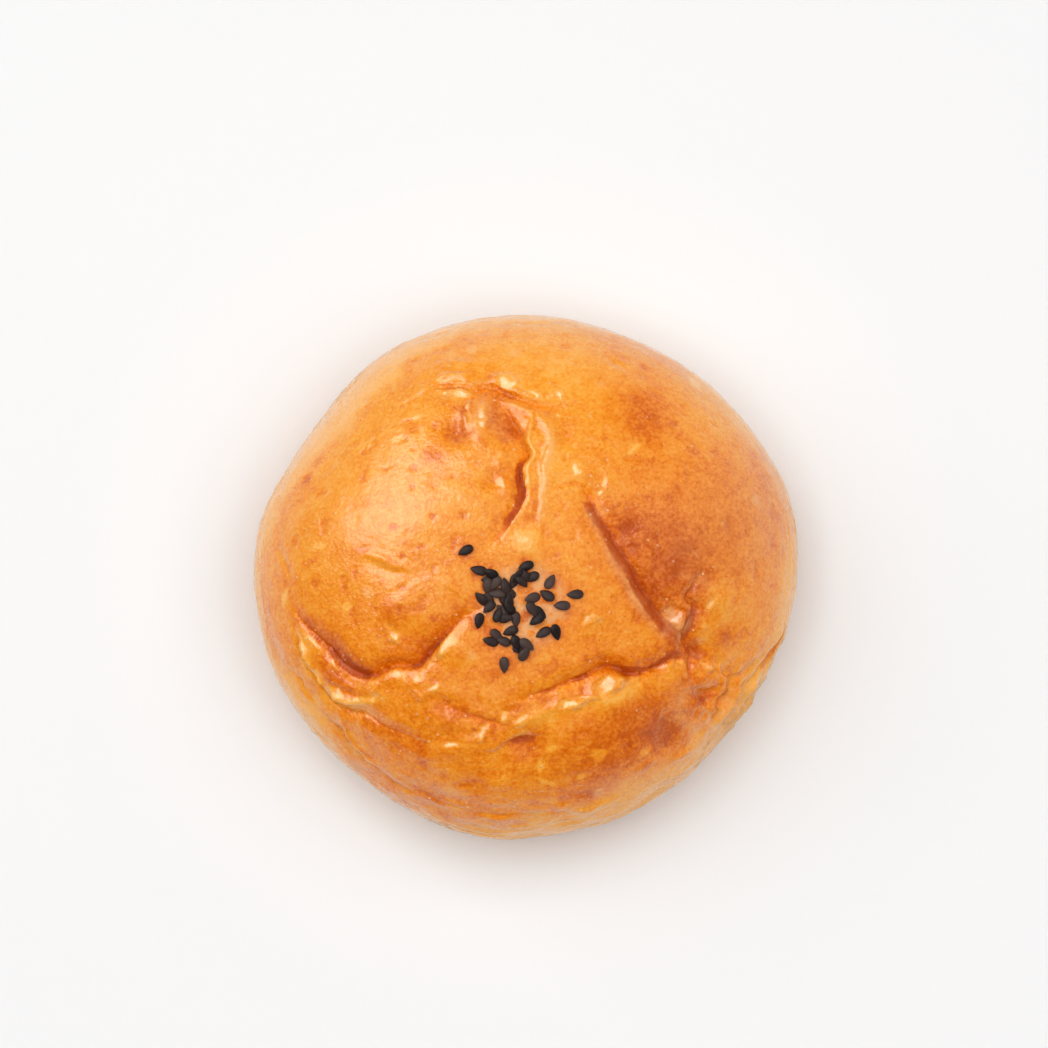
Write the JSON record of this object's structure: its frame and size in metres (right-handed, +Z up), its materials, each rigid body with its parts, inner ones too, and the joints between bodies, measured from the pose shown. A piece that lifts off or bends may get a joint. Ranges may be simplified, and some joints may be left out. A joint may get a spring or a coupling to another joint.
{
  "type": "bread roll",
  "caption": "Round glazed bread roll with a wrinkled golden crust, a flat underside and a cluster of black sesame seeds baked onto its top.",
  "frame": {"origin": "middle of the flat underside, on the surface that the roll stands on", "axes": "+Z up; +Y away from the viewer who sees the seeds on the near side of the crown; +X to that viewer's right"},
  "size_m": [0.1063, 0.1028, 0.045],
  "materials": {
    "baked_crust": "egg-glazed baked crust, golden to amber, paler at the side",
    "black_seed": "dull black sesame seeds, baked onto the crust"
  },
  "bodies": {
    "root": {"roll": "baked_crust"}
  },
  "joints": []
}
